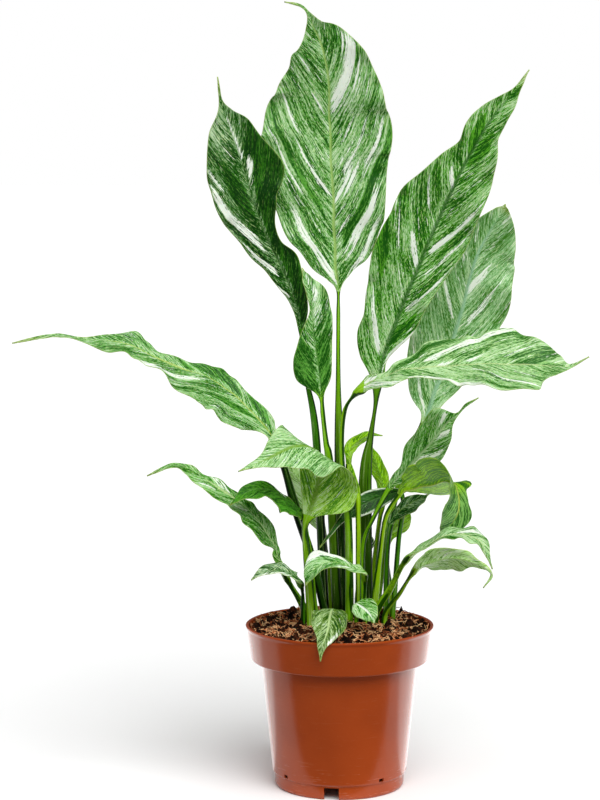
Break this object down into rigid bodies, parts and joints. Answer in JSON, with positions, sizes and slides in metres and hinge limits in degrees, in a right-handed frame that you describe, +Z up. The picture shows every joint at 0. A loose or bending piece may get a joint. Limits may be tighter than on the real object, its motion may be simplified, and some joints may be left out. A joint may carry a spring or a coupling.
{
  "type": "potted peace lily",
  "caption": "Marbled white-streaked peace lily without flowers, leaves on long stalks in fibrous soil in a round terracotta-coloured nursery pot.",
  "frame": {"origin": "centre of the pot's underside, on the surface that the pot stands on", "axes": "+Z up along the pot's axis, -Y towards the front, +X to the right seen from the front"},
  "size_m": [0.3555, 0.1466, 0.4981],
  "materials": {
    "pot_plastic": "satin",
    "soil_peat": "matte",
    "leaf_mid": "satin",
    "leaf_dark": "satin",
    "leaf_fresh": "satin"
  },
  "bodies": {
    "root": {"pot": "pot_plastic", "soil": "soil_peat", "leaf_tall_centre": "leaf_mid", "leaf_left_upper": "leaf_mid", "leaf_left_inner": "leaf_dark", "leaf_right_upper": "leaf_mid", "leaf_right_back": "leaf_mid", "leaf_right_front": "leaf_mid", "leaf_right_twisted": "leaf_dark", "leaf_right_bright": "leaf_fresh", "leaf_right_arched": "leaf_mid", "leaf_right_low": "leaf_mid", "leaf_right_under": "leaf_dark", "leaf_left_far": "leaf_mid", "leaf_left_low": "leaf_dark", "leaf_left_small": "leaf_mid", "leaf_left_mid": "leaf_mid", "leaf_left_front": "leaf_mid", "leaf_front_small": "leaf_mid", "leaf_front_drooping": "leaf_mid", "leaf_front_right_small": "leaf_mid", "leaf_centre_dark": "leaf_dark", "leaf_back_tip": "leaf_fresh", "leaf_back_lance": "leaf_fresh", "leaf_back_low": "leaf_fresh", "leaf_back_left": "leaf_mid", "leaf_centre_small": "leaf_mid", "shoot_centre": "leaf_fresh"}
  },
  "joints": []
}
